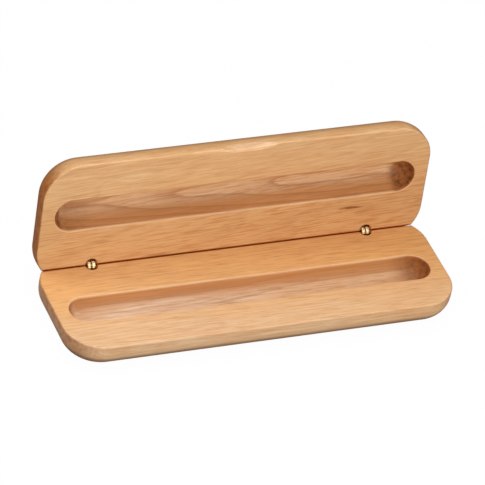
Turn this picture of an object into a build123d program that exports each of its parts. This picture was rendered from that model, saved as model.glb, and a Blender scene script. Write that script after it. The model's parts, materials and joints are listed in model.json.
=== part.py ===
"""Hinged wooden pen box, two mirrored halves on two small brass barrel hinges.

Sizes are in mm, +Z is up and the box opens towards -Y. The origin is the
centre of the flat underside of the base. Everything is worked out with the
box shut, then the lid and the hinge leaves are swung to the open rest pose.
"""
from build123d import *
from math import asin, cos, radians, sin, sqrt
import os

# outside of one half, from the size of a usual single pen box
LENGTH = 175.0
DEPTH = 57.4
HALF_THICKNESS = 12.9
CORNER_RADIUS = 16.4
OUTER_ROUNDING = 9.1
ARRIS_ROUNDING = 0.8

# half-round groove for the pen, the same in both halves
GROOVE_RADIUS = 7.4
GROOVE_END_WALL = 6.5
GROOVE_TO_SEAM = 26.3
LIP_ROUNDING = 0.7

# the opening angle, the gap between the shut mating faces, and the wedge between the
# open rear bevels, which nearly meet at their rear ends
OPEN_ANGLE = 95.4
SHUT_GAP = 0.2
SEAM_GAP = 0.35
REAR_GAP = 0.1
SEAM_ROUNDING = 0.5
SEAM_TO_REAR = 6.8

# thumb notch in the front edge of the lid
NOTCH_CENTRE_X = 2.0
NOTCH_LENGTH = 30.0
NOTCH_ON_FACE = 2.4
NOTCH_ON_WALL = 3.3

# barrel hinges
HINGE_FROM_END = 25.1
BARREL_RADIUS = 2.5
BARREL_LENGTH = 8.0
BARREL_RECESS = 0.25
BORE_MOUTH_CHAMFER = 0.15
PIN_DEPTH = 0.8
PIN_RADIUS = 0.35
PIN_LENGTH = 4.7
PIN_RUNNING_CLEARANCE = 0.05
LEAF_THICKNESS = 1.7
LEAF_SLIT = 0.22
LEAF_END_RADIUS = 1.0
LEAF_FRONT_BULGE = 1.35
LEAF_EDGE_ROUNDING = 0.5
LEAF_SIDE_CLEARANCE = 0.1
SLOT_END_CLEARANCE = 0.3

# positions that follow from the sizes above
HALF_ANGLE = OPEN_ANGLE / 2
BEVEL_RUN = SEAM_TO_REAR / cos(radians(HALF_ANGLE))
BEVEL_ANGLE = radians(HALF_ANGLE) - asin((SEAM_GAP - REAR_GAP) / 2 / BEVEL_RUN)
HINGE_X = LENGTH / 2 - HINGE_FROM_END
LEAF_PITCH = 2 * PIN_DEPTH + SHUT_GAP
MIRROR_DISTANCE = LEAF_PITCH / 2
BEVEL_DISTANCE = MIRROR_DISTANCE - SEAM_GAP / 2
REAR_Y = DEPTH / 2
SEAM_Y = REAR_Y - SEAM_TO_REAR
SEAM_AHEAD = (MIRROR_DISTANCE - PIN_DEPTH * cos(radians(HALF_ANGLE))) / sin(radians(HALF_ANGLE))
PIN_Y = SEAM_Y - SEAM_AHEAD
FACE_Z = HALF_THICKNESS
BASE_PIN_Z = FACE_Z - PIN_DEPTH
LID_PIN_Z = BASE_PIN_Z + LEAF_PITCH
LID_FACE_Z = FACE_Z + SHUT_GAP
GROOVE_Y = SEAM_Y - GROOVE_TO_SEAM
LEAF_PACK_HALF = LEAF_THICKNESS + LEAF_SLIT / 2
SLOT_HALF_WIDTH = LEAF_PACK_HALF + LEAF_SIDE_CLEARANCE
SLOT_DEPTH = PIN_DEPTH + LEAF_END_RADIUS + SLOT_END_CLEARANCE
SHUT_MIRROR = Plane(origin=(0, 0, FACE_Z + SHUT_GAP / 2), z_dir=(0, 0, 1))

# overlength of cutting tools and the tolerance for picking edges
CUTTER_LENGTH = 2 * DEPTH
PICK = 0.01


def under_envelope(drop):
    """Space a half may fill, `drop` below the face, the seam rounding and the rear bevel."""
    a = BEVEL_ANGLE
    far = CUTTER_LENGTH
    below_bevel = BEVEL_DISTANCE - SEAM_ROUNDING
    below_face = PIN_DEPTH - SEAM_ROUNDING
    centre_y = PIN_Y + (below_bevel - below_face * cos(a)) / sin(a)
    centre_z = BASE_PIN_Z + below_face
    radius = SEAM_ROUNDING - drop
    top = (centre_y, centre_z + radius)
    middle = (centre_y + radius * sin(a / 2), centre_z + radius * cos(a / 2))
    low = (centre_y + radius * sin(a), centre_z + radius * cos(a))
    back = (low[0] + far * cos(a), low[1] - far * sin(a))
    with BuildSketch(Plane.YZ.offset(-LENGTH)) as side:
        with BuildLine():
            Line((-far, top[1]), top)
            ThreePointArc(top, middle, low)
            Line(low, back)
            Line(back, (back[0], back[1] - far))
            Line((back[0], back[1] - far), (-far, back[1] - far))
            Line((-far, back[1] - far), (-far, top[1]))
        make_face()
    return extrude(side.sketch, amount=2 * LENGTH)


def groove_cutter():
    """Rod with round ends, lying in the mating face."""
    reach = LENGTH / 2 - GROOVE_END_WALL - GROOVE_RADIUS
    rod = Cylinder(GROOVE_RADIUS, 2 * reach, rotation=(0, 90, 0))
    cutter = rod + Pos(-reach, 0, 0) * Sphere(GROOVE_RADIUS) + Pos(reach, 0, 0) * Sphere(GROOVE_RADIUS)
    return Pos(0, GROOVE_Y, FACE_Z) * cutter


def is_groove_edge(point):
    """Whether a point of the mating face lies on the rim of the groove."""
    across = abs(point.Y - GROOVE_Y) < GROOVE_RADIUS + PICK
    return across and abs(point.X) < LENGTH / 2 - GROOVE_END_WALL + PICK


def wood_half():
    """Base half: rounded block, bevelled at the rear, with the groove and two bores."""
    block = extrude(RectangleRounded(LENGTH, DEPTH, CORNER_RADIUS), amount=HALF_THICKNESS)
    block = fillet(block.edges().group_by(Axis.Z)[0], OUTER_ROUNDING)
    block = fillet(block.edges().group_by(Axis.Z)[-1], ARRIS_ROUNDING)
    block = block & under_envelope(0)
    block = block - groove_cutter()
    on_face = block.edges().filter_by_position(Axis.Z, FACE_Z - PICK, FACE_Z + PICK)
    lip = [edge for edge in on_face if is_groove_edge(edge.center())]
    block = fillet(lip, LIP_ROUNDING)
    for x in (-HINGE_X, HINGE_X):
        block = block - barrel_bore(x)
    return block


def barrel_bore(x):
    """Blind bore for one barrel, with a small chamfer at its mouth."""
    height = BARREL_LENGTH + PIN_DEPTH
    bore = Pos(x, PIN_Y, FACE_Z - BARREL_LENGTH + height / 2) * Cylinder(BARREL_RADIUS, height)
    mouth = Cone(BARREL_RADIUS, BARREL_RADIUS + 2 * BORE_MOUTH_CHAMFER, 2 * BORE_MOUTH_CHAMFER)
    return bore + Pos(x, PIN_Y, FACE_Z) * mouth


def thumb_notch():
    """Drum that scoops the front edge of the lid, in the shut pose."""
    slant = sqrt(NOTCH_ON_FACE**2 + NOTCH_ON_WALL**2)
    sagitta = NOTCH_ON_FACE * NOTCH_ON_WALL / slant
    radius = ((NOTCH_LENGTH / 2) ** 2 + sagitta**2) / (2 * sagitta)
    along = Vector(0, -NOTCH_ON_FACE, NOTCH_ON_WALL) / slant
    outward = Vector(0, -NOTCH_ON_WALL, -NOTCH_ON_FACE) / slant
    on_face = Vector(NOTCH_CENTRE_X, -DEPTH / 2 + NOTCH_ON_FACE, LID_FACE_Z)
    axis_point = on_face + outward * radius + along * (slant / 2)
    drum_plane = Plane(origin=axis_point, x_dir=(1, 0, 0), z_dir=along)
    return drum_plane * Cylinder(radius, CUTTER_LENGTH)


def barrel(x):
    """Slotted brass barrel of the base, cross-drilled for its pin."""
    body = Pos(x, PIN_Y, FACE_Z - BARREL_LENGTH / 2) * Cylinder(BARREL_RADIUS, BARREL_LENGTH)
    body = body & under_envelope(BARREL_RECESS)
    slot = Box(2 * SLOT_HALF_WIDTH, CUTTER_LENGTH, 2 * SLOT_DEPTH)
    body = body - Pos(x, PIN_Y, FACE_Z) * slot
    cross = Cylinder(PIN_RADIUS, PIN_LENGTH, rotation=(0, 90, 0))
    return body - Pos(x, PIN_Y, BASE_PIN_Z) * cross


def hinge_pin(x):
    """Pin of the base barrel, pressed across its slot."""
    return Pos(x, PIN_Y, BASE_PIN_Z) * Cylinder(PIN_RADIUS, PIN_LENGTH, rotation=(0, 90, 0))


def leaf(x):
    """One link leaf, upright in the shut pose, turning on both pins."""
    rear = PIN_Y + LEAF_END_RADIUS
    front = PIN_Y - LEAF_END_RADIUS
    half_way = (BASE_PIN_Z + LID_PIN_Z) / 2
    with BuildSketch(Plane.YZ.offset(x - LEAF_THICKNESS / 2)) as side:
        with BuildLine():
            Line((rear, BASE_PIN_Z), (rear, LID_PIN_Z))
            ThreePointArc((rear, LID_PIN_Z), (PIN_Y, LID_PIN_Z + LEAF_END_RADIUS), (front, LID_PIN_Z))
            ThreePointArc((front, LID_PIN_Z), (PIN_Y - LEAF_FRONT_BULGE, half_way), (front, BASE_PIN_Z))
            ThreePointArc((front, BASE_PIN_Z), (PIN_Y, BASE_PIN_Z - LEAF_END_RADIUS), (rear, BASE_PIN_Z))
        make_face()
    plate = extrude(side.sketch, amount=LEAF_THICKNESS)
    rims = plate.faces().sort_by(Axis.X)[0].edges() + plate.faces().sort_by(Axis.X)[-1].edges()
    plate = fillet(rims, LEAF_EDGE_ROUNDING)
    hole = Cylinder(PIN_RADIUS + PIN_RUNNING_CLEARANCE, 2 * LEAF_THICKNESS, rotation=(0, 90, 0))
    plate = plate - Pos(x, PIN_Y, BASE_PIN_Z) * hole
    return plate - Pos(x, PIN_Y, LID_PIN_Z) * hole


def swing(shape, pin_z):
    """Turn a shape by half the opening angle about the pin at height pin_z."""
    return shape.rotate(Axis((0, PIN_Y, pin_z), (1, 0, 0)), -HALF_ANGLE)


def open_lid_side(shape):
    """Mirror a base-side shape to the lid, then swing it with the lid and with the leaves."""
    return open_in_place(shape.mirror(SHUT_MIRROR))


def open_in_place(shape):
    """Swing a shape of the shut lid to the open rest pose."""
    return swing(swing(shape, LID_PIN_Z), BASE_PIN_Z)


nodes = {}
half = wood_half()
nodes["base_half"] = half
nodes["lid_half"] = open_in_place(half.mirror(SHUT_MIRROR) - thumb_notch())
for side, x in (("left", -HINGE_X), ("right", HINGE_X)):
    nodes[side + "_base_barrel"] = barrel(x)
    nodes[side + "_base_pin"] = hinge_pin(x)
    nodes[side + "_lid_barrel"] = open_lid_side(barrel(x))
    nodes[side + "_lid_pin"] = open_lid_side(hinge_pin(x))
    step = (LEAF_THICKNESS + LEAF_SLIT) / 2
    outer = -step if x < 0 else step
    nodes[side + "_outer_leaf"] = swing(leaf(x + outer), BASE_PIN_Z)
    nodes[side + "_inner_leaf"] = swing(leaf(x - outer), BASE_PIN_Z)

os.makedirs("parts", exist_ok=True)
for name, shape in nodes.items():
    solids = shape.solids()
    print(name, "solids", len(solids), "volume", round(shape.volume, 3))
    solid = solids[0]
    solid.label = name
    export_step(solid, "parts/" + name + ".step")

turned = swing(Pos(0, PIN_Y, LID_PIN_Z) * Sphere(PIN_RADIUS), BASE_PIN_Z).center()
print("link axis y z", round(PIN_Y, 4), round(BASE_PIN_Z, 4))
print("lid axis y z at rest", round(turned.Y, 4), round(turned.Z, 4))
print("groove y", round(GROOVE_Y, 4), "half angle", HALF_ANGLE)
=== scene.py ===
"""Looks of the wooden pen box: camera, soft white studio, lacquered wood and polished brass.

Object places are in metres. Wood textures are drawn in board coordinates, in millimetres:
X along the board, Y across it, and Z the depth below its mating face.
"""
import json
import math

import bpy
from mathutils import Matrix, Vector


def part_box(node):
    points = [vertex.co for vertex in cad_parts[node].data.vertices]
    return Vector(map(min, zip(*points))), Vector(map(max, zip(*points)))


MM = 0.001
TO_MM = 1000.0

# camera of the photograph, worked out from the outlines of the box
PHOTO_SIDE_PX = 485
SENSOR_WIDTH = 36.0
FOCAL_PX = 4477.0
VIEW_AZIMUTH = -28.93
VIEW_ELEVATION = 38.88
VIEW_ROLL = -12.01
VIEW_DISTANCE = 1.8653
VIEW_TARGET = Vector((0.25, 12.4, 23.6)) * MM
CLIP_END = 20.0

# softboxes that look at the box, as name: (place, side, watts)
LIGHT_AIM = Vector((0, 0, 0.02))
SOFTBOXES = {
    "overhead_softbox": (Vector((0, 0, 1.1)), 0.9, 8.5),
    "low_front_softbox": (Vector((0, -1.1, 0.3)), 0.8, 9.9),
    "rear_left_softbox": (Vector((-0.7, 0.5, 0.7)), 0.6, 4.8),
}

# white surroundings: their strength as light, as seen by the camera, and in gloss and glass
WHITE = (1.0, 1.0, 1.0, 1.0)
ROOM_LIGHT = 0.06
BACKDROP_SEEN = 0.94
ROOM_MIRRORED = 0.45
FLOOR_MIRRORED = 0.3
FLOOR_GLOW = 1.04
FLOOR_TONE = (0.35, 0.35, 0.35, 1.0)
FLOOR_SIDE = 6.0
# room between the underside and the studio floor, so that the two never flicker
FLOOR_DROP = 0.02 * MM

# groove of the solids, in board millimetres
GROOVE_Y = -4.4
GROOVE_RADIUS = 7.4
GROOVE_REACH = 73.6

# thumb notch of the lid, which lies above this depth and in front of this place
NOTCH_DEPTH = 3.6
NOTCH_BEHIND = -24.9

# Below, a pair is where a smooth step starts and ends, and the two numbers that may follow are
# its value before and after. Places and depths are in board millimetres, and a facing is one
# axis of the normal.

# tone of the face, from front to rear and along the board: painted sheen makes the front and
# left paler, painted shade makes the rear and right browner
FRONT_TO_REAR = (-25.0, 15.0)
LEFT_TO_RIGHT = (-80.0, 80.0)
LEFT_END = (-86.0, -48.0)
SHADED_AT_FRONT = 0.3
FIBRES_ALONG = (-60.0, 60.0, 0.5, 1.15)

# groove: its walls, where the pale tone is painted sheen and the hinge side gets painted shade,
# and the painted highlight on its lip at the hinge side
GROOVE_WALL = (GROOVE_RADIUS + 0.1, GROOVE_RADIUS + 0.6)
GROOVE_SHARE = 0.85
HINGE_WALL_SHADE_SHARE = 0.95
LIP_INNER = (GROOVE_RADIUS - 0.2, GROOVE_RADIUS + 0.2)
LIP_OUTER = (GROOVE_RADIUS + 0.5, GROOVE_RADIUS + 1.1)
LIP_DEPTH = (0.6, 1.2)
LIP_SIDE = (0.3 * GROOVE_RADIUS, 0.8 * GROOVE_RADIUS)
LIP_HIGHLIGHT_SHARE = 0.3

# thumb notch: the facings and depths between which its scoop lies, which gets a painted
# highlight
NOTCH_STEEP = (-0.95, -0.75)
NOTCH_FLAT = (-0.38, -0.18)
NOTCH_REACH = (NOTCH_BEHIND - 1.0, NOTCH_BEHIND)
NOTCH_BOTTOM = (NOTCH_DEPTH - 0.8, NOTCH_DEPTH)
NOTCH_ARRIS = (0.1, 0.6)
NOTCH_HIGHLIGHT_SHARE = 0.8

# painted shade on the outer faces, at the rim of the outer rounding, in the seam and at the
# mouths of the hinge bores
OUTER_ARRIS = (0.1, 0.8)
RIM_END = (10.4, 12.4)
SEAM_AT_HINGE = (-0.35, 0.05)
SEAM_DEPTH = (0.7, 1.7)
SEAM_FACING = (0.2, 0.6)
SEAM_SHADE_SHARE = 0.9
BORE_SHADE_EDGE = (0.1, 0.5)
BORE_SHADE_DEPTH = (2.0, 4.0)
BORE_SHADE_SHARE = 0.85

# grain: noise scales along, across and into the board, and how each noise is used
CLOUD_SCALE = (0.014, 0.07, 0.07)
STREAK_SCALE = (0.035, 0.85, 0.85)
FIBRE_SCALE = (0.075, 1.6, 1.6)
PORE_SCALE = (0.16, 2.2, 2.2)
CLOUDS = (0.3, 0.7, 0.0, 0.35)
STREAKS = (0.35, 0.70)
FIBRES = (0.45, 0.64)
PORES = (0.58, 0.72, 0.0, 0.14)
FIBRE_HEIGHT = 0.6

# growth lines: the noise that bends them, and the tone over one year
SWAY_SCALE = (0.017, 0.045, 0.045)
RIPPLE_SCALE = (0.06, 0.30, 0.30)
RIPPLE = 0.6
EARLY_WOOD = (0.2, 0.9, 0.0, 0.5)
LATE_WOOD = (0.78, 0.92, 0.0, 0.5)
YEAR_END = (0.93, 1.0)

# small dark streaks: noise that makes them ragged, and their fading edge, in half sizes
MARK_WOBBLE_SCALE = (0.25, 1.6, 1.6)
MARK_WOBBLE = 1.4
MARK_PER_DEPTH = 0.05
MARK_EDGE = (1.0, 1.9)

# end grain on the outer ends, torn grain on the ends of the groove, and painted shade in the
# torn tone near its left end
SPECKLE_SCALE = (0.45, 0.45, 0.45)
MOTTLING = (0.38, 0.66)
OUTER_END_FACING = (0.25, 0.95, 0.0, 0.9)
TORN_SHARE = 0.95
TORN_RAGGED = 1.6
NEAR_LEFT_END = (-GROOVE_REACH - 5.0, -GROOVE_REACH + 16.0)

# relief and roughness of the wood
GRAIN_BUMP = 0.25
GRAIN_DEPTH = 0.03 * MM
WOOD_ROUGHNESS = (0.2, 0.8, 0.38, 0.50)
OUTER_ROUGHNESS = 0.35
WOOD_SPECULAR = 0.1

# brass: tarnish in patches, and fine turning marks
TARNISH_SCALE = (0.9, 0.9, 0.9)
TURNING_SCALE = (0.6, 0.6, 14.0)
TARNISH_TONE = (0.4, 0.75)
TARNISH_ROUGHNESS = (0.3, 0.8)
TARNISHED_ROUGHER = 1.8
TURNING_BUMP = 0.2
TURNING_DEPTH = 0.01 * MM


def srgb(red, green, blue):
    """Linear colour of a colour as it is seen on screen, 0 to 255."""
    linear = [((c / 255 + 0.055) / 1.055) ** 2.4 for c in (red, green, blue)]
    return (*linear, 1.0)


class Graph:
    """Short calls for building one node tree."""

    def __init__(self, tree):
        self.tree = tree
        tree.nodes.clear()

    def add(self, kind, inputs=None, **settings):
        """New shader node, with its settings, and its inputs set or linked."""
        node = self.tree.nodes.new("ShaderNode" + kind)
        for key, value in settings.items():
            setattr(node, key, value)
        for key, value in (inputs or {}).items():
            self.feed(node, key, value)
        return node

    def feed(self, node, key, value):
        """Link a socket to an input, or set the input to a constant."""
        if isinstance(value, bpy.types.NodeSocket):
            self.tree.links.new(value, node.inputs[key])
        else:
            node.inputs[key].default_value = value

    def calc(self, operation, *values):
        """Result of one math node."""
        return self.add("Math", dict(enumerate(values)), operation=operation).outputs[0]

    def product(self, first, *others):
        """All the values multiplied together."""
        for other in others:
            first = self.calc("MULTIPLY", first, other)
        return first

    def vector(self, operation, first, second):
        """Vector result of one vector math node."""
        node = self.add("VectorMath", {0: first, 1: second}, operation=operation)
        return node.outputs["Vector"]

    def offset(self, *steps):
        """Offset made of two or three steps along the axes."""
        return self.add("CombineXYZ", dict(enumerate(steps))).outputs[0]

    def length(self, offset):
        """Length of an offset."""
        return self.add("VectorMath", {0: offset}, operation="LENGTH").outputs["Value"]

    def split(self, vector):
        """X, Y and Z of a vector."""
        parts = self.add("SeparateXYZ", {0: vector}).outputs
        return parts["X"], parts["Y"], parts["Z"]

    def noise(self, place, scale, detail=2.0, roughness=0.5):
        """Noise in 0 to 1, its grain stretched by a scale per axis."""
        stretched = self.vector("MULTIPLY", place, scale)
        sockets = {"Vector": stretched, "Scale": 1.0, "Detail": detail, "Roughness": roughness}
        return self.add("TexNoise", sockets).outputs[0]

    def ramp(self, value, low, high, bottom=0.0, top=1.0):
        """Smooth step of a value, from bottom at low to top at high."""
        limits = {"From Min": low, "From Max": high, "To Min": bottom, "To Max": top}
        sockets = {"Value": value, **limits}
        return self.add("MapRange", sockets, interpolation_type="SMOOTHSTEP").outputs[0]

    def fall(self, value, low, high, top=1.0):
        """Smooth step of a value, from top at low to 0 at high."""
        return self.ramp(value, low, high, top, 0.0)

    def between(self, factor, first, second):
        """Mix of two plain values, which are sockets 2 and 3 of the node."""
        return self.add("Mix", {0: factor, 2: first, 3: second}).outputs[0]

    def mix(self, factor, first, second):
        """Mix of two colours, which are sockets 6 and 7 of the node."""
        return self.add("Mix", {0: factor, 6: first, 7: second}, data_type="RGBA").outputs[2]


def new_material(name):
    """Empty node material and its graph."""
    material = bpy.data.materials.new(name)
    material.use_nodes = True
    return material, Graph(material.node_tree)


def about(joint, angle):
    """Turn about a joint's axis."""
    centre = Vector(joint["pos_m"])
    turn = Matrix.Rotation(angle, 4, Vector(joint["axis"]))
    return Matrix.Translation(centre) @ turn @ Matrix.Translation(-centre)


def board_of_base():
    """Turn, mirror and shift that take an object place to the base's board coordinates."""
    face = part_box("base_half")[1].z
    return {"turn": 0.0, "flip": -1.0, "shift": Vector((0, 0, face * TO_MM))}


def board_of_lid(joints):
    """The same for the lid, which is swung shut first."""
    link, lid = joints["link_swing"], joints["lid_swing"]
    half_turn = math.radians(link["range_deg"][1])
    shut = about(link, half_turn) @ about(lid, half_turn)
    lid_pin = about(link, half_turn) @ Vector(lid["pos_m"])
    face = link["pos_m"][2] + lid_pin.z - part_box("base_half")[1].z
    shift = (shut.translation - Vector((0, 0, face))) * TO_MM
    return {"turn": 2 * half_turn, "flip": 1.0, "shift": shift}


def hinge_bore():
    """Axis in board millimetres, and radius, of the right hinge's bore, from the solids."""
    low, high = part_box("right_base_barrel")
    return (low + high) / 2 * TO_MM, (high.x - low.x) / 2 * TO_MM


def board_sockets(graph, board):
    """Place in board millimetres, and the normal in board axes."""
    source = graph.add("TexCoord").outputs
    scale = Vector((1, 1, board["flip"]))
    turned = {"Rotation": (board["turn"], 0, 0)}
    moved = {"Vector": source["Object"], "Location": board["shift"], "Scale": scale * TO_MM}
    place = graph.add("Mapping", {**moved, **turned})
    faced = {"Vector": source["Normal"], "Scale": scale}
    normal = graph.add("Mapping", {**faced, **turned}, vector_type="VECTOR")
    return place.outputs[0], normal.outputs[0]


def growth_lines(graph, place, look):
    """Thin late wood lines, 0 to 1, of layers that lie nearly along the board."""
    moved = graph.vector("ADD", place, look["seed"])
    sway = graph.noise(moved, SWAY_SCALE, detail=1.0)
    ripple = graph.noise(moved, RIPPLE_SCALE, detail=3.0)
    level_x, level_y, level_z = graph.split(graph.vector("MULTIPLY", place, look["layers"]))
    level = graph.calc("ADD", graph.calc("ADD", level_x, level_y), level_z)
    swayed = graph.calc("MULTIPLY_ADD", sway, look["sway"], level)
    rippled = graph.calc("MULTIPLY_ADD", ripple, RIPPLE, swayed)
    phase = graph.calc("FRACT", graph.calc("DIVIDE", rippled, look["period"]))
    darkened = graph.calc("ADD", graph.ramp(phase, *EARLY_WOOD), graph.ramp(phase, *LATE_WOOD))
    return graph.product(darkened, graph.fall(phase, *YEAR_END))


def dark_marks(graph, place, marks):
    """Small dark streaks at set places of the mating face, 0 to 1."""
    total = 0.0
    wobble = graph.noise(place, MARK_WOBBLE_SCALE, detail=3.0)
    for x, y, half_length, half_width, strength in marks:
        moved = graph.vector("SUBTRACT", place, (x, y, 0.0))
        size = (1 / half_length, 1 / half_width, MARK_PER_DEPTH)
        distance = graph.length(graph.vector("MULTIPLY", moved, size))
        ragged = graph.calc("MULTIPLY_ADD", wobble, MARK_WOBBLE, distance)
        total = graph.calc("MAXIMUM", total, graph.fall(ragged, *MARK_EDGE, strength))
    return total


def from_groove(graph, along, across):
    """Steps from the groove's middle line: past its straight part, and across it."""
    past = graph.calc("SUBTRACT", graph.calc("ABSOLUTE", along), GROOVE_REACH)
    return graph.calc("MAXIMUM", past, 0.0), graph.calc("SUBTRACT", across, GROOVE_Y)


def inside_groove(graph, along, across, depth):
    """1 on the walls of the groove and 0 elsewhere."""
    distance = graph.length(graph.offset(*from_groove(graph, along, across), depth))
    return graph.fall(distance, *GROOVE_WALL)


def groove_lip(graph, along, across, depth):
    """1 on the groove's edge at its hinge side, where a highlight is painted, and 0 elsewhere.
    """
    past, sideways = from_groove(graph, along, across)
    distance = graph.length(graph.offset(past, sideways))
    band = graph.product(graph.ramp(distance, *LIP_INNER), graph.fall(distance, *LIP_OUTER))
    return graph.product(band, graph.fall(depth, *LIP_DEPTH), graph.ramp(sideways, *LIP_SIDE))


def bore_mouth_shade(graph, along, across, depth, bore):
    """1 at the mouths of the two hinge bores, where shade is painted on the wood."""
    hinge, radius = bore
    sideways = graph.calc("SUBTRACT", graph.calc("ABSOLUTE", along), hinge.x)
    distance = graph.length(graph.offset(sideways, graph.calc("SUBTRACT", across, hinge.y)))
    edge = (radius + step for step in BORE_SHADE_EDGE)
    return graph.product(graph.fall(distance, *edge), graph.fall(depth, *BORE_SHADE_DEPTH))


def notch_share(graph, across, depth, facing_down):
    """1 in the scooped face of the thumb notch, and 0 elsewhere."""
    tilted = graph.product(
        graph.ramp(facing_down, *NOTCH_STEEP), graph.fall(facing_down, *NOTCH_FLAT)
    )
    shallow = graph.product(graph.fall(depth, *NOTCH_BOTTOM), graph.ramp(depth, *NOTCH_ARRIS))
    return graph.product(tilted, graph.fall(across, *NOTCH_REACH), shallow)


def seam_shade_share(graph, across, depth, facing_along, bore):
    """Share of the painted shade in the seam, on the two rear edges that meet beside the hinges.
    """
    hinge = bore[0]
    rear_edge = graph.ramp(across, *(hinge.y + step for step in SEAM_AT_HINGE))
    shallow = graph.fall(depth, *SEAM_DEPTH, SEAM_SHADE_SHARE)
    lengthwise = graph.fall(graph.calc("ABSOLUTE", facing_along), *SEAM_FACING)
    return graph.product(rear_edge, shallow, lengthwise)


def shaded_share(graph, along, rearward, groove, look):
    """Share of the browner tone of painted shade, where the painted sheen fades: most at the
    right and, on the rear half, at the left end.
    """
    right_shade = graph.product(
        graph.ramp(along, *LEFT_TO_RIGHT),
        graph.between(rearward, SHADED_AT_FRONT, 1.0),
        graph.between(groove, 1.0, look["groove_shaded"]),
    )
    left_end = graph.fall(along, *LEFT_END, look["left_shaded"])
    return graph.calc("MAXIMUM", right_shade, graph.product(left_end, rearward))


def smooth_tone(graph, along, across, rearward, groove, look):
    """Tone of the wood before its grain, of the face, the groove and its hinge wall: painted
    sheen at the front and in the groove, painted shade to the rear, the right and on that wall.
    """
    tone = graph.mix(rearward, look["front"], look["rear"])
    # the groove's pale tone is painted sheen and light
    tone = graph.mix(graph.product(groove, GROOVE_SHARE), tone, look["groove"])
    tone = graph.mix(shaded_share(graph, along, rearward, groove, look), tone, look["shaded"])
    wall_start, wall_end = (GROOVE_Y + share * GROOVE_RADIUS for share in look["wall_reach"])
    # painted shade on the groove's hinge-side wall
    hinge_wall_shade = graph.ramp(across, wall_start, wall_end, 0.0, HINGE_WALL_SHADE_SHARE)
    return graph.mix(graph.product(groove, hinge_wall_shade), tone, look["wall"])


def grain(graph, place, tone, look, groove, fibrous):
    """Tone with clouds, streaks, fibres, pores and growth lines, its relief, and the fibres."""
    slant = {"Vector": place, "Rotation": (0, 0, math.radians(look["slant"]))}
    slanted = graph.add("Mapping", slant).outputs[0]
    moved = graph.vector("ADD", slanted, look["seed"])
    clouds = graph.noise(moved, CLOUD_SCALE, detail=2.0)
    streaks = graph.noise(moved, STREAK_SCALE, detail=3.0, roughness=0.6)
    fibres = graph.noise(moved, FIBRE_SCALE, detail=3.0, roughness=0.65)
    pores = graph.noise(moved, PORE_SCALE, detail=1.0)

    at_front, at_rear = look["fibres"]
    fibre_share = graph.calc("MULTIPLY_ADD", fibrous, at_rear - at_front, at_front)
    fibre_share = graph.product(graph.ramp(fibres, *FIBRES), fibre_share)
    line_share = graph.calc("MULTIPLY_ADD", groove, look["groove_lines"], look["face_lines"])
    line_share = graph.product(growth_lines(graph, slanted, look), line_share)

    tone = graph.mix(graph.ramp(clouds, *CLOUDS), tone, look["cloud"])
    tone = graph.mix(graph.ramp(streaks, *STREAKS, 0.0, look["contrast"]), tone, look["streak"])
    tone = graph.mix(fibre_share, tone, look["fibre"])
    tone = graph.mix(graph.ramp(pores, *PORES), tone, look["fleck"])
    tone = graph.mix(line_share, tone, look["fleck"])
    height = graph.calc("MULTIPLY_ADD", fibres, FIBRE_HEIGHT, streaks)
    return tone, height, fibres


def end_grain(graph, place, along, facing_along, groove, look):
    """Mottled colour of the end grain, and how much of it shows, with its torn tone also painted
    as shade near the groove's left end.
    """
    speckle = graph.noise(place, SPECKLE_SCALE, detail=3.0, roughness=0.7)
    mottled = graph.ramp(speckle, *MOTTLING)
    sawn = graph.mix(mottled, look["end"], look["end_dark"])
    torn = graph.mix(mottled, look["torn"], look["torn_dark"])

    outside = graph.ramp(graph.calc("ABSOLUTE", facing_along), *OUTER_END_FACING)
    steep = graph.ramp(facing_along, *look["left_torn"], 0.0, TORN_SHARE)
    # painted shade near the groove's left end, drawn in the torn tone
    near_end = graph.fall(along, *NEAR_LEFT_END, look["left_shade"])
    ragged = graph.calc("MULTIPLY_ADD", speckle, TORN_RAGGED, along)
    torn_start, torn_full = (GROOVE_REACH + step for step in look["torn_end"])
    right_end = graph.ramp(ragged, torn_start, torn_full, 0.0, TORN_SHARE)
    inside = graph.calc("MAXIMUM", graph.calc("MAXIMUM", steep, near_end), right_end)
    return graph.mix(groove, sawn, torn), graph.between(groove, outside, inside)


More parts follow.
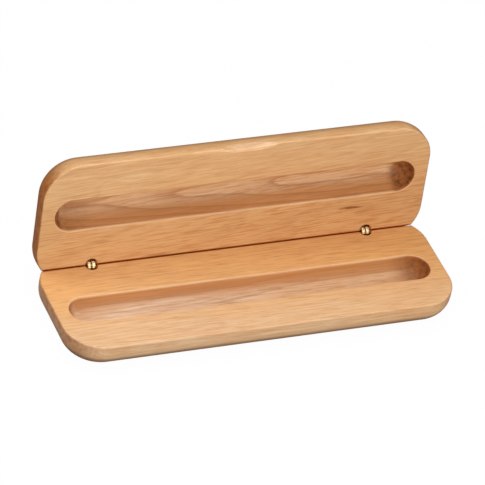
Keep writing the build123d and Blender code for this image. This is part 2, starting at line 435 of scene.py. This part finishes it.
def wood(name, board, bore, look):
    """Golden close-grained wood, lacquered after sanding, with painted light and shade in its
    tone.
    """
    material, graph = new_material(name)
    place, normal = board_sockets(graph, board)
    along, across, depth = graph.split(place)
    facing_along, _, facing_down = graph.split(normal)
    groove = inside_groove(graph, along, across, depth)
    not_groove = graph.calc("SUBTRACT", 1.0, groove)
    rearward = graph.ramp(across, *FRONT_TO_REAR)

    tone = smooth_tone(graph, along, across, rearward, groove, look)
    # painted highlight in the scoop of the thumb notch
    scoop_highlight = graph.product(notch_share(graph, across, depth, facing_down), NOTCH_HIGHLIGHT_SHARE)
    tone = graph.mix(scoop_highlight, tone, look["notch_highlight"])
    fibrous = graph.product(rearward, graph.ramp(along, *FIBRES_ALONG))
    tone, height, fibres = grain(graph, place, tone, look, groove, fibrous)
    tone = graph.mix(dark_marks(graph, place, look["marks"]), tone, look["mark"])
    # painted highlight on the groove's edge at the hinge side
    lip = graph.product(groove_lip(graph, along, across, depth), LIP_HIGHLIGHT_SHARE)
    tone = graph.mix(lip, tone, look["lip"])
    end_tone, end_share = end_grain(graph, place, along, facing_along, groove, look)
    tone = graph.mix(end_share, tone, end_tone)

    # painted shade on the outer faces, whose lacquer is also rougher there
    outer = graph.product(graph.ramp(depth, *look["outer"]), graph.ramp(depth, *OUTER_ARRIS))
    outer = graph.product(outer, not_groove)
    tone = graph.mix(outer, tone, look["outside"])
    # darker painted shade at the rim of the outer rounding
    rim = graph.product(graph.ramp(depth, *look["rim_reach"]), graph.fall(depth, *RIM_END))
    tone = graph.mix(graph.product(rim, not_groove), tone, look["rim"])
    # painted shade in the seam beside the hinges
    tone = graph.mix(seam_shade_share(graph, across, depth, facing_along, bore), tone, look["seam"])
    # painted shade at the mouths of the hinge bores
    bore_shade = graph.product(bore_mouth_shade(graph, along, across, depth, bore), BORE_SHADE_SHARE)
    tone = graph.mix(bore_shade, tone, look["bore_shade"])

    bump = graph.add("Bump", {"Strength": GRAIN_BUMP, "Distance": GRAIN_DEPTH, "Height": height})
    roughness = graph.ramp(fibres, *WOOD_ROUGHNESS)
    surface = {
        "Base Color": tone,
        "Roughness": graph.calc("MULTIPLY_ADD", outer, OUTER_ROUGHNESS, roughness),
        "Normal": bump.outputs[0],
        "Specular IOR Level": WOOD_SPECULAR,
    }
    graph.add("OutputMaterial", {"Surface": graph.add("BsdfPrincipled", surface).outputs[0]})
    return material


def brass(name, clean, tarnished, roughness):
    """Brass with fine turning marks and some tarnish."""
    material, graph = new_material(name)
    place = graph.vector("MULTIPLY", graph.add("TexCoord").outputs["Object"], (TO_MM,) * 3)
    tarnish = graph.noise(place, TARNISH_SCALE, detail=4.0)
    turning = graph.noise(place, TURNING_SCALE, detail=2.0)
    relief = {"Strength": TURNING_BUMP, "Distance": TURNING_DEPTH, "Height": turning}
    rougher = TARNISHED_ROUGHER * roughness
    surface = {
        "Base Color": graph.mix(graph.ramp(tarnish, *TARNISH_TONE), clean, tarnished),
        "Metallic": 1.0,
        "Roughness": graph.ramp(tarnish, *TARNISH_ROUGHNESS, roughness, rougher),
        "Normal": graph.add("Bump", relief).outputs[0],
    }
    graph.add("OutputMaterial", {"Surface": graph.add("BsdfPrincipled", surface).outputs[0]})
    return material


def dress(node, material):
    """Give every material slot of a CAD node the same material."""
    slots = node.data.materials
    for index in range(len(slots)):
        slots[index] = material
    if not slots:
        slots.append(material)


def make_camera():
    """Camera of the photograph, from its angles, distance and focal length in pixels."""
    angles = (VIEW_AZIMUTH, VIEW_ELEVATION, VIEW_ROLL)
    azimuth, elevation, roll = (math.radians(angle) for angle in angles)
    flat = math.cos(elevation)
    back = Vector((math.sin(azimuth) * flat, -math.cos(azimuth) * flat, math.sin(elevation)))
    right = (-back).cross(Vector((0, 0, 1))).normalized()
    up = right.cross(-back)
    rolled_right = math.cos(roll) * right - math.sin(roll) * up
    rolled_up = math.sin(roll) * right + math.cos(roll) * up
    data = bpy.data.cameras.new("photo_camera")
    data.sensor_width = SENSOR_WIDTH
    data.lens = FOCAL_PX / PHOTO_SIDE_PX * SENSOR_WIDTH
    data.clip_end = CLIP_END
    camera = bpy.data.objects.new("photo_camera", data)
    bpy.context.scene.collection.objects.link(camera)
    axes = Matrix((rolled_right, rolled_up, back)).transposed().to_4x4()
    camera.matrix_world = Matrix.Translation(VIEW_TARGET + back * VIEW_DISTANCE) @ axes
    bpy.context.scene.camera = camera


def make_light(name, place, side, watts):
    """Square softbox that looks at the box."""
    data = bpy.data.lights.new(name, "AREA")
    data.size = side
    data.energy = watts
    light = bpy.data.objects.new(name, data)
    light.location = place
    light.rotation_euler = (LIGHT_AIM - place).to_track_quat("-Z", "Y").to_euler()
    bpy.context.scene.collection.objects.link(light)


def backdrop_share(graph, mirrored):
    """Share of plain white: one for the camera, one for gloss and glass, and none as light."""
    rays = graph.add("LightPath").outputs
    straight = graph.product(rays["Is Camera Ray"], BACKDROP_SEEN)
    bent = graph.calc("MAXIMUM", rays["Is Glossy Ray"], rays["Is Transmission Ray"])
    return graph.calc("MULTIPLY_ADD", bent, mirrored, straight)


def make_floor():
    """White sweep on which the shadow stays faint, clear when it is seen from below."""
    bpy.ops.mesh.primitive_plane_add(size=FLOOR_SIDE, location=(0, 0, -FLOOR_DROP))
    floor = bpy.context.object
    floor.name = "studio_floor"
    material, graph = new_material("studio_white")
    matt = graph.add("BsdfDiffuse", {"Color": FLOOR_TONE}).outputs[0]
    glow = graph.add("Emission", {"Color": WHITE, "Strength": FLOOR_GLOW}).outputs[0]
    share = backdrop_share(graph, FLOOR_MIRRORED)
    above = graph.add("MixShader", {0: share, 1: matt, 2: glow}).outputs[0]
    from_below = graph.add("NewGeometry").outputs["Backfacing"]
    clear = graph.add("BsdfTransparent").outputs[0]
    both_sides = graph.add("MixShader", {0: from_below, 1: above, 2: clear}).outputs[0]
    graph.add("OutputMaterial", {"Surface": both_sides})
    floor.data.materials.append(material)


def make_world():
    """Even white room, seen as plain white by the camera and by the metal."""
    world = bpy.data.worlds.new("studio_room")
    world.use_nodes = True
    graph = Graph(world.node_tree)
    strength = graph.calc("ADD", backdrop_share(graph, ROOM_MIRRORED), ROOM_LIGHT)
    background = graph.add("Background", {"Color": WHITE, "Strength": strength})
    graph.add("OutputWorld", {"Surface": background.outputs[0]})
    bpy.context.scene.world = world


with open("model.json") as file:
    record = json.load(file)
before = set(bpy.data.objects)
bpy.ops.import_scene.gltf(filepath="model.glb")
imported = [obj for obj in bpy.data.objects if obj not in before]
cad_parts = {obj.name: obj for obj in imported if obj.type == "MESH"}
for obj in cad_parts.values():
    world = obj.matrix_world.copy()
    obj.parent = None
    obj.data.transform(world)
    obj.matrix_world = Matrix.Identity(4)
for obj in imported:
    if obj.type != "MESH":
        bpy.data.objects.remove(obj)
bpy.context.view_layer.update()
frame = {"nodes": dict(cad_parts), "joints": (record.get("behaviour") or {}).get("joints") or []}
joints = {joint["name"]: joint for joint in frame["joints"]}

# dark streaks as (x, y, half length, half width, strength), board millimetres
LID_MARKS = [
    (54.0, 8.9, 6.5, 0.75, 0.9),
    (-33.0, 20.7, 7.0, 0.8, 0.4),
    (51.0, 3.1, 9.0, 0.5, 0.25),
    (-10.0, 11.1, 16.0, 0.6, 0.2),
]
BASE_MARKS = [
    (30.0, -18.9, 12.0, 0.5, 0.15),
    (-45.0, 11.1, 10.0, 0.5, 0.15),
]

# tones that both boards share
BOARD = {
    # painted shade on the groove's hinge-side wall
    "wall": srgb(190, 129, 76),
    "cloud": srgb(232, 176, 120),
    "streak": srgb(216, 154, 101),
    "fleck": srgb(160, 96, 52),
    "fibre": srgb(198, 134, 80),
    "mark": srgb(140, 78, 40),
    # painted highlight on the groove's edge at the hinge side
    "lip": srgb(252, 220, 178),
    # painted shade on the outer faces
    "outside": srgb(128, 76, 36),
    # darker painted shade at the rim of the outer rounding
    "rim": srgb(104, 66, 38),
    # painted highlight in the scoop of the thumb notch
    "notch_highlight": srgb(246, 212, 176),
    # painted shade in the seam beside the hinges
    "seam": srgb(174, 86, 16),
    # painted shade at the mouths of the hinge bores
    "bore_shade": srgb(172, 92, 40),
}

# What the other entries of a look say:
# wall_reach: start and end of the painted shade on the groove's hinge wall, in radii from its
# middle
# groove and left-end shares of the browner tone, which is painted shade: in the groove, and at
# the left end of the rear half
# torn_end: start and end of the torn grain past the groove's straight part, at its right end
# left_torn, left_shade: facings of the torn grain at the left end, and the share of painted
# shade, in the torn tone, near that end
# outer, rim_reach: smooth steps, over the depth, of the painted shade on the outer faces and of
# the darker painted shade at their rim
# seed, slant: shift of all noise, and degrees from the board to its grain
# contrast, fibres: share of the streaks, and of the fibres at the front and the rear
# layers, sway, period: growth per millimetre along each axis, how far it is bent, and one year
# face_lines, groove_lines: share of the growth lines, and what the groove adds to it
BASE_LOOK = {
    **BOARD,
    # front, rear and browner tones: painted sheen at the front, painted shade towards the rear
    # and right; the groove's pale tone is painted sheen
    "front": srgb(231, 199, 161),
    "rear": srgb(240, 190, 127),
    "shaded": srgb(226, 168, 103),
    "groove": srgb(250, 230, 206),
    "end": srgb(208, 152, 108),
    "end_dark": srgb(172, 120, 82),
    "torn": srgb(164, 98, 50),
    "torn_dark": srgb(132, 76, 34),
    "wall_reach": (0.5, 0.95),
    "groove_shaded": 0.75,
    "left_shaded": 0.65,
    "torn_end": (-9.0, 7.0),
    "left_torn": (0.35, 0.95),
    "left_shade": 0.04,
    "outer": (4.0, 9.5, 0.0, 0.35),
    "rim_reach": (5.8, 8.4, 0.0, 0.6),
    "seed": (310.0, 40.9, 0.0),
    "slant": 0.5,
    "contrast": 0.42,
    "fibres": (0.42, 0.60),
    "layers": (0.02, 0.10, 1.0),
    "sway": 4.0,
    "period": 3.0,
    "face_lines": 0.08,
    "groove_lines": 0.20,
    "marks": BASE_MARKS,
}
LID_LOOK = {
    **BOARD,
    # front, rear and browner tones: painted sheen at the front, painted shade towards the rear
    # and right; the groove's pale tone is painted sheen
    "front": srgb(236, 195, 143),
    "rear": srgb(224, 178, 124),
    "shaded": srgb(211, 161, 108),
    "groove": srgb(228, 190, 151),
    "end": srgb(184, 102, 32),
    "end_dark": srgb(142, 76, 20),
    "torn": srgb(166, 102, 54),
    "torn_dark": srgb(114, 64, 28),
    "wall_reach": (0.35, 0.85),
    "groove_shaded": 0.1,
    "left_shaded": 0.0,
    "torn_end": (-2.2, 3.4),
    "left_torn": (0.1, 0.75),
    "left_shade": 0.43,
    "outer": (-1.0, 8.5, 0.0, 0.5),
    "rim_reach": (5.0, 8.4, 0.0, 0.45),
    "seed": (0.0, -74.1, 20.0),
    "slant": 3.0,
    "contrast": 0.50,
    "fibres": (0.40, 0.95),
    "layers": (0.03, 0.10, 1.0),
    "sway": 6.0,
    "period": 2.4,
    "face_lines": 0.12,
    "groove_lines": 0.36,
    "marks": LID_MARKS,
}

bore = hinge_bore()
wood_of = {
    "base_half": wood("base_wood", board_of_base(), bore, BASE_LOOK),
    "lid_half": wood("lid_wood", board_of_lid(joints), bore, LID_LOOK),
}
polished = brass("polished_brass", srgb(234, 208, 162), srgb(202, 168, 112), roughness=0.33)
# darker brass of the barrels: partly tarnish, partly painted shade of the dark ring in the hinge
# bores
tarnished_shaded = brass("tarnished_shaded_brass", srgb(190, 126, 70), srgb(124, 74, 36), roughness=0.45)
for node_name, node in frame["nodes"].items():
    metal = polished if node_name.endswith("leaf") else tarnished_shaded
    dress(node, wood_of.get(node_name, metal))

make_camera()
make_world()
make_floor()
for light_name, (place, side, watts) in SOFTBOXES.items():
    make_light(light_name, place, side, watts)
bpy.context.scene.view_settings.view_transform = "Standard"
